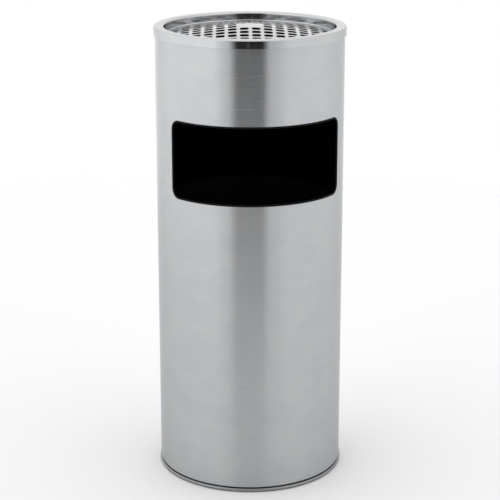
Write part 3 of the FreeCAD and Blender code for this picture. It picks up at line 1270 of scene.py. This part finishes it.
    def solid_flats(
        self,
        spots: Sequence[Vector],
        flats: Iterable[Sequence[int]],
        rings: Sequence[Sequence[int]],
        outlines: Sequence[Sequence[Point]],
    ) -> Faces:
        """Leaves out the flats that lie in the holes.

        Args:
            spots: The plate's points.
            flats: The triangles between them.
            rings: For each hole, the indices of its points.
            outlines: For each hole, its outline.

        Returns:
            The flats that are sheet.
        """
        owner = {member: number for number, ring in enumerate(rings) for member in ring}
        kept: Faces = []
        for flat in flats:
            owners = {owner.get(v, -1) for v in flat}
            if len(owners) == 1 and -1 not in owners:
                centre = sum((spots[v] for v in flat), Vector((0, 0))) / len(flat)
                if self.within(centre, outlines[owners.pop()]):
                    continue
            kept.append(tuple(flat))
        return kept

    def add_wall(self, verts: list[Corner], faces: Faces, ring: list[int], count: int) -> None:
        """Gives a hole its wall, with both edges rolled over.

        Args:
            verts: The plate's points, which get the wall's.
            faces: The plate's faces, which get the wall's.
            ring: The hole's points on the upper face.
            count: How much later each point's twin on the lower face comes.
        """
        outline = [verts[v][:2] for v in ring]
        walls = offset(outline, self.edge, closed=True)
        lift = [verts[v][2] for v in ring]
        upper = len(verts)
        verts += [(x, y, z - self.edge) for (x, y), z in zip(walls, lift)]
        lower = len(verts)
        verts += [(x, y, z - self.gauge + self.edge) for (x, y), z in zip(walls, lift)]
        for i in range(len(ring)):
            j = (i + 1) % len(ring)
            faces.append((ring[i], ring[j], upper + j, upper + i))
            faces.append((upper + i, upper + j, lower + j, lower + i))
            faces.append((lower + i, lower + j, count + ring[j], count + ring[i]))

    def add_bead(self, verts: list[Corner], faces: Faces, rim: list[int], count: int) -> None:
        """Rolls the plate's rim into a bead.

        Args:
            verts: The plate's points, which get the bead's.
            faces: The plate's faces, which get the bead's.
            rim: The rim's points on the upper face.
            count: How much later each point's twin on the lower face comes.
        """
        flats = self.bead_flats
        sweep_angle = self.bead_start + math.pi / 2
        rows = [rim]
        for i in range(1, flats + 1):
            turn = self.bead_start - sweep_angle * i / flats
            radius = self.outer - self.bead + self.bead * math.cos(turn)
            height = self.flange_top - self.gauge + self.bead + self.bead * math.sin(turn)
            start = len(verts)
            verts += [(x, y, height) for x, y in ring_points(radius, len(rim))]
            rows.append(list(range(start, start + len(rim))))
        rows.append([count + v for v in rim])
        for row, after in zip(rows, rows[1:]):
            for i in range(len(rim)):
                j = (i + 1) % len(rim)
                faces.append((row[i], row[j], after[j], after[i]))

    @staticmethod
    def within(point: Vector, outline: Sequence[Point]) -> bool:
        """Tells whether a point is inside an outline.

        Args:
            point: The point.
            outline: The closed outline.

        Returns:
            Whether it is inside.
        """
        inside = False
        for (x0, y0), (x1, y1) in zip(outline, list(outline[1:]) + [outline[0]]):
            if (y0 > point.y) != (y1 > point.y):
                if point.x < (x1 - x0) * (point.y - y0) / (y1 - y0) + x0:
                    inside = not inside
        return inside

    def build(self) -> None:
        """Builds and dresses the sieve."""
        piece = self.make_plate()
        smooth(piece, 50.0)
        self.fit(piece, "ash_sieve", SIEVE_STEEL.build())


@dataclass
class Bucket(Assembly):
    """The liner: swaged wall, recessed base, rim wire, ears and rivets."""

    body: str = "bucket"
    gauge: float = 0.8 * MM
    taper: float = 6 * MM
    recess: float = 6 * MM
    curl_radius: float = 2.45 * MM
    curl_bite: float = 0.1 * MM
    swage_depth: float = 1.5 * MM
    swage_half: float = 6 * MM
    swage_bend: float = 7 * MM
    upper_swage_drop: float = 62 * MM
    lower_swage_lift: float = 58 * MM
    curl_sweep: float = 320.0
    curl_flats: int = 20
    flange_bend: float = 0.96 * MM
    dish_share: float = 0.55
    dish_slant: float = 6 * MM
    dish_depth: float = 1.2 * MM
    dish_bend: float = 4 * MM
    clearance: float = 0.05 * MM
    foot: float = field(init=False)
    rim: float = field(init=False)
    curl_centre: float = field(init=False)
    top_radius: float = field(init=False)

    def __post_init__(self) -> None:
        """Reads the bucket's place from the frame."""
        low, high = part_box("bucket_wall")
        self.foot, self.rim = low[2], high[2]
        self.curl_centre = high[0] - self.curl_radius
        self.top_radius = self.curl_centre - self.curl_radius + self.gauge + self.curl_bite

    def radius_at(self, height: float) -> float:
        """The outer radius of the plain wall.

        Args:
            height: The height at which it is taken.

        Returns:
            The radius there.
        """
        curl_height = self.rim - self.curl_radius
        slope = self.taper / (curl_height - self.foot)
        return self.top_radius - slope * (curl_height - height)

    def swage(self, height: float) -> list[Corner]:
        """One rolled bead of the wall.

        Args:
            height: The height of its middle.

        Returns:
            Its corners, from the lowest.
        """
        low, high = height - self.swage_half, height + self.swage_half
        return [
            (self.radius_at(low), low, self.swage_bend),
            (self.radius_at(height) + self.swage_depth, height, self.swage_bend),
            (self.radius_at(high), high, self.swage_bend),
        ]

    def make_wall(self) -> bpy.types.Object:
        """Builds the wall with its beads and the curl at its rim.

        Returns:
            The wall.
        """
        curl_height = self.rim - self.curl_radius
        path = [(self.radius_at(self.foot), self.foot, 0.0)]
        path += self.swage(self.foot + self.lower_swage_lift)
        path += self.swage(self.rim - self.upper_swage_drop)
        path.append((self.radius_at(curl_height), curl_height, 0.0))
        outside = rounded(path)
        inside = offset(outside, self.gauge)
        centre = Vector((self.curl_centre, curl_height))
        sweep_angle, flats = math.radians(self.curl_sweep), self.curl_flats
        rolls = []
        for radius in (self.curl_radius, self.curl_radius - self.gauge):
            turns = (math.pi - sweep_angle * i / flats for i in range(flats + 1))
            spots = [centre + Vector((math.cos(t), math.sin(t))) * radius for t in turns]
            rolls.append([(p.x, p.y) for p in spots])
        loop = outside[:-1] + rolls[1] + list(reversed(rolls[0])) + list(reversed(inside[:-1]))
        return lathe("swaged_bucket_wall", loop)

    def make_floor(self) -> bpy.types.Object:
        """Builds the recessed base with its turned-down flange.

        Returns:
            The base.
        """
        low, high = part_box("bucket_base")
        outer = self.radius_at(self.foot) - self.gauge - self.clearance
        slope = self.radius_at(self.foot + self.recess) - self.radius_at(self.foot)
        under = high[2] - self.gauge
        dish = outer * self.dish_share
        path = [
            (outer - self.gauge, low[2], 0),
            (outer - self.gauge + slope, under, self.flange_bend),
            (dish, under, self.dish_bend),
            (dish - self.dish_slant, under - self.dish_depth, self.dish_bend),
            (0, under - self.dish_depth, 0),
        ]
        near = rounded(path)
        return lathe("recessed_bucket_base", near + list(reversed(offset(near, -self.gauge))))

    def build(self) -> None:
        """Builds and dresses every piece of the bucket."""
        paint = BUCKET_PAINT.build()
        self.fit(self.make_wall(), "bucket_wall", paint)
        self.fit(self.make_floor(), "bucket_base", paint)
        self.keep("bucket_rim_wire", paint)
        for side in ("right", "left"):
            self.keep(f"bail_ear_{side}", paint)
            self.keep(f"ear_rivets_{side}", paint)


@dataclass
class Bail(Assembly):
    """The half-round wire handle and its moulded grip."""

    body: str = "bail"
    wire_radius: float = 2 * MM
    bend_radius: float = 4 * MM
    head_radius: float = 3 * MM
    head_length: float = 1.2 * MM
    grip_radius: float = 6 * MM
    grip_length: float = 92 * MM
    grip_round: float = 2.2 * MM
    grip_steps: int = 120
    groove: float = 0.7 * MM
    groove_half: float = 2.2 * MM
    groove_count: int = 6
    clearance: float = 0.05 * MM
    head_round: float = 0.2 * MM
    bend_flats: int = 8
    hoop_flats: int = 48
    tube_flats: int = 24
    hoop: float = field(init=False)
    pivot: Vector = field(init=False)
    tilt: float = field(init=False)
    reach: float = field(init=False)

    def __post_init__(self) -> None:
        """Reads the bail's place from the frame and its joint."""
        joint = next(j for j in frame["record"]["behaviour"]["joints"] if j["name"] == "bail_swing")
        self.pivot = Vector(joint["pos_m"])
        low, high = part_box("bail_wire")
        self.reach = high[0]
        rise = (low[1], high[2] - self.wire_radius - self.pivot.z)
        self.hoop = math.hypot(rise[0] + self.wire_radius, rise[1])
        self.tilt = math.asin(rise[1] / self.hoop)

    def spot(self, x: float, forward: float) -> Vector:
        """A point of the bail's own plane, in the frame.

        Args:
            x: Its place along the pivot's axis.
            forward: Its distance from that axis, towards the grip.

        Returns:
            The point.
        """
        return self.pivot + Vector((x, -forward * math.cos(self.tilt), forward * math.sin(self.tilt)))

    def make_wire(self) -> bpy.types.Object:
        """Builds the wire, from one upset head to the other.

        Returns:
            The wire.
        """
        bend = self.bend_radius
        bend_x = math.sqrt((self.hoop + bend) ** 2 - bend**2)
        joint_turn = math.atan2(bend, bend_x)
        end = self.reach - self.head_length
        half: list[Point] = [(end, 0.0), (bend_x, 0.0)]
        start = -math.pi / 2
        final = joint_turn - math.pi
        for i in range(1, self.bend_flats + 1):
            turn = start + (final - start) * i / self.bend_flats
            half.append((bend_x + bend * math.cos(turn), bend + bend * math.sin(turn)))
        for i in range(1, self.hoop_flats + 1):
            turn = joint_turn + (math.pi / 2 - joint_turn) * i / self.hoop_flats
            half.append((self.hoop * math.cos(turn), self.hoop * math.sin(turn)))
        line = half + [(-x, y) for x, y in reversed(half[:-1])]
        rounded_at = self.reach - self.head_round
        head = [(self.reach, 0.6), (self.reach, 0.95), (rounded_at, 1.0), (end, 1.0)]
        spots = [(x, 0.0, share * self.head_radius) for x, share in head]
        spots += [(x, y, self.wire_radius) for x, y in line]
        spots += [(-x, y, radius) for x, y, radius in reversed(spots[:len(head)])]
        return self.tube("bail_hoop", spots)

    def tube(self, name: str, spots: Sequence[tuple[float, float, float]]) -> bpy.types.Object:
        """Sweeps a round section whose radius may change.

        Args:
            name: The piece's name.
            spots: The x, the forward distance and the radius at each place.

        Returns:
            The tube.
        """
        across = Vector((0, math.sin(self.tilt), math.cos(self.tilt)))
        circle = ring_points(1.0, self.tube_flats)
        places, sections = [], []
        for i, (x, forward, radius) in enumerate(spots):
            here = self.spot(x, forward)
            nearby = [spots[max(i - 1, 0)], spots[min(i + 1, len(spots) - 1)]]
            run = self.spot(*nearby[1][:2]) - self.spot(*nearby[0][:2])
            if run.length < TINY:
                run = Vector((-1, 0, 0))
            run.normalize()
            side = across.cross(run).normalized()
            axes = Matrix((side, across, side.cross(across))).transposed().to_4x4()
            places.append(Matrix.Translation(here) @ axes)
            sections.append([(u * radius, w * radius) for u, w in circle])
        return sweep(name, places, sections)

    def make_grip(self) -> bpy.types.Object:
        """Builds the sleeve with its finger grooves and rounded ends.

        Returns:
            The grip.
        """
        half_span = self.grip_length / self.hoop / 2
        section = self.grip_length / (self.groove_count + 1)
        inner = self.wire_radius + self.clearance
        spots = [(-half_span, inner)]
        for i in range(self.grip_steps + 1):
            share = i / self.grip_steps
            from_end = min(share, 1 - share) * self.grip_length
            radius = self.grip_radius
            if from_end < self.grip_round:
                missing = 1 - from_end / self.grip_round
                radius -= self.grip_round * (1 - math.sqrt(1 - missing * missing))
            phase = share * (self.groove_count + 1)
            off_groove = abs(phase - round(phase)) * section
            if 0 < round(phase) <= self.groove_count and off_groove < self.groove_half:
                radius -= self.groove * math.cos(off_groove / self.groove_half * math.pi / 2) ** 2
            spots.append((-half_span + 2 * half_span * share, radius))
        spots.append((half_span, inner))
        path = [
            (self.hoop * math.sin(turn), self.hoop * math.cos(turn), radius)
            for turn, radius in spots
        ]
        return self.tube("moulded_grip", path)

    def build(self) -> None:
        """Builds and dresses the bail."""
        self.fit(self.make_wire(), "bail_wire", BAIL_PAINT.build())
        self.fit(self.make_grip(), "bail_grip", GRIP_PLASTIC.build())


# --- Studio -------------------------------------------------------------------------------------


@dataclass
class Studio:
    """The pale floor, the soft surround of light and the camera."""

    floor_radius: float = 1.75
    floor_plain: float = 0.8
    floor_flats: int = 128
    floor_colour: Colour = (0.8, 0.8, 0.8)
    floor_grain: float = 2.5 * MM
    floor_contrast: float = 0.015
    azimuth: float = -6.0
    distance: float = 2.1
    eye_height: float = 0.9287
    pitch: float = 16.613
    focal_length: float = 115.67
    sensor_width: float = 36.0
    gap: float = 0.02
    left_panel: float = 1.42
    right_panel: float = 1.2
    left_edges: tuple[float, float, float] = (14.0, 28.0, 46.0)
    right_edges: tuple[float, float, float] = (14.0, 25.0, 52.0)
    near_share: float = 0.7
    slit: float = 0.1
    slit_turn: float = -2.0
    slit_width: float = 2.0
    back_share: float = 0.9
    back_edges: tuple[float, float] = (95.0, 150.0)
    backdrop: float = 1.28
    backdrop_edges: tuple[float, float] = (148.0, 168.0)
    ceiling: float = 1.4
    ceiling_from: float = 30.0
    ceiling_full: float = 58.2117

    def make_floor(self) -> None:
        """Lays a round pale floor under the bin."""
        spots = [(x, y, 0.0) for x, y in ring_points(self.floor_radius, self.floor_flats)]
        floor = make_object("studio_floor", spots, [tuple(range(self.floor_flats))])
        graph = Graph("pale_floor")
        grain = graph.noise(graph.place(), 1 / self.floor_grain)
        shade = graph.spread(grain, 1 - self.floor_contrast, 1 + self.floor_contrast)
        graph.surface(
            Base_Color=graph.tint(self.floor_colour, shade),
            Roughness=0.85,
            Specular_IOR_Level=0.1,
        )
        x, y, _ = graph.split(graph.place())
        reach = graph.reach_of(x, y)
        faded = graph.step(reach, self.floor_radius, self.floor_radius * self.floor_plain)
        graph.surface(Alpha=faded)
        floor.data.materials.append(graph.material)

    def panel(self, graph: Graph, turn: object, strength: float, edges: Corner) -> bpy.types.NodeSocket:
        """One side's soft panel, which brightens in two steps away from the gap.

        Args:
            graph: The world's nodes.
            turn: The angle away from the viewer on that side.
            strength: Its full brightness.
            edges: The angles in degrees at which it starts, is near full and is full.

        Returns:
            Its light over that of the gap.
        """
        near, middle, far = (math.radians(edge) for edge in edges)
        first = graph.number("MULTIPLY", graph.step(turn, near, middle), self.near_share)
        second = graph.number("MULTIPLY", graph.step(turn, middle, far), 1 - self.near_share)
        return graph.number("MULTIPLY", graph.number("ADD", first, second), strength - self.gap)

    def make_light(self) -> None:
        """Surrounds the bin with soft white panels that leave a dark gap on the viewer's side."""
        world = bpy.data.worlds.new("studio")
        bpy.context.scene.world = world
        world.use_nodes = True
        graph = Graph.of_tree(world.node_tree)
        x, y, z = graph.split(graph.add("ShaderNodeTexCoord").outputs["Generated"])
        right = graph.number("SUBTRACT", graph.turn_of(x, y), math.radians(self.azimuth))
        left = graph.number("MULTIPLY", right, -1.0)
        away = graph.number("ABSOLUTE", right)
        from_slit = graph.number(
            "ABSOLUTE", graph.number("SUBTRACT", right, math.radians(self.slit_turn))
        )
        slit = graph.step(from_slit, math.radians(self.slit_width), 0.0)
        dark = graph.number("MULTIPLY_ADD", slit, self.slit, self.gap)
        sides = graph.number(
            "ADD",
            self.panel(graph, left, self.left_panel, self.left_edges),
            self.panel(graph, right, self.right_panel, self.right_edges),
        )
        behind = graph.step(away, *(math.radians(edge) for edge in self.back_edges))
        wall = graph.number(
            "MULTIPLY", graph.number("ADD", sides, dark), graph.spread(behind, 1.0, self.back_share)
        )
        far = graph.step(away, *(math.radians(edge) for edge in self.backdrop_edges))
        wall = graph.number("MAXIMUM", wall, graph.number("MULTIPLY", far, self.backdrop))
        heights = (math.sin(math.radians(edge)) for edge in (self.ceiling_from, self.ceiling_full))
        high = graph.step(z, *heights)
        light = graph.number("MAXIMUM", wall, graph.number("MULTIPLY", high, self.ceiling))
        background = graph.tree.nodes["Background"]
        background.inputs["Color"].default_value = (1.0, 1.0, 1.0, 1.0)
        seen = graph.add("ShaderNodeLightPath").outputs["Is Camera Ray"]
        plain = graph.number("SUBTRACT", 1.0, seen)
        strength = graph.number("MULTIPLY_ADD", light, plain, seen)
        graph.feed(background.inputs["Strength"], strength)

    def make_camera(self) -> None:
        """Sets the camera in front of the bin, looking slightly down."""
        data = bpy.data.cameras.new("viewer")
        data.lens = self.focal_length
        data.sensor_width = self.sensor_width
        camera = bpy.data.objects.new("viewer", data)
        bpy.context.scene.collection.objects.link(camera)
        turn = math.radians(self.azimuth)
        camera.location = (
            self.distance * math.sin(turn),
            -self.distance * math.cos(turn),
            self.eye_height,
        )
        camera.rotation_euler = (math.radians(90 - self.pitch), 0.0, turn)
        bpy.context.scene.camera = camera

    def build(self) -> None:
        """Builds the whole studio."""
        bpy.context.scene.view_settings.view_transform = "Standard"
        self.make_floor()
        self.make_light()
        self.make_camera()


def main() -> None:
    """Builds the studio and every sub-assembly in order, and reports the pieces."""
    logging.basicConfig(level=logging.INFO, format="%(name)s: %(message)s")
    Studio().build()
    for assembly in (Body(), AshPan(), Sieve(), Bucket(), Bail()):
        assembly.build()
        log.info("%s is built", type(assembly).__name__)


if __name__ == "__main__":
    main()
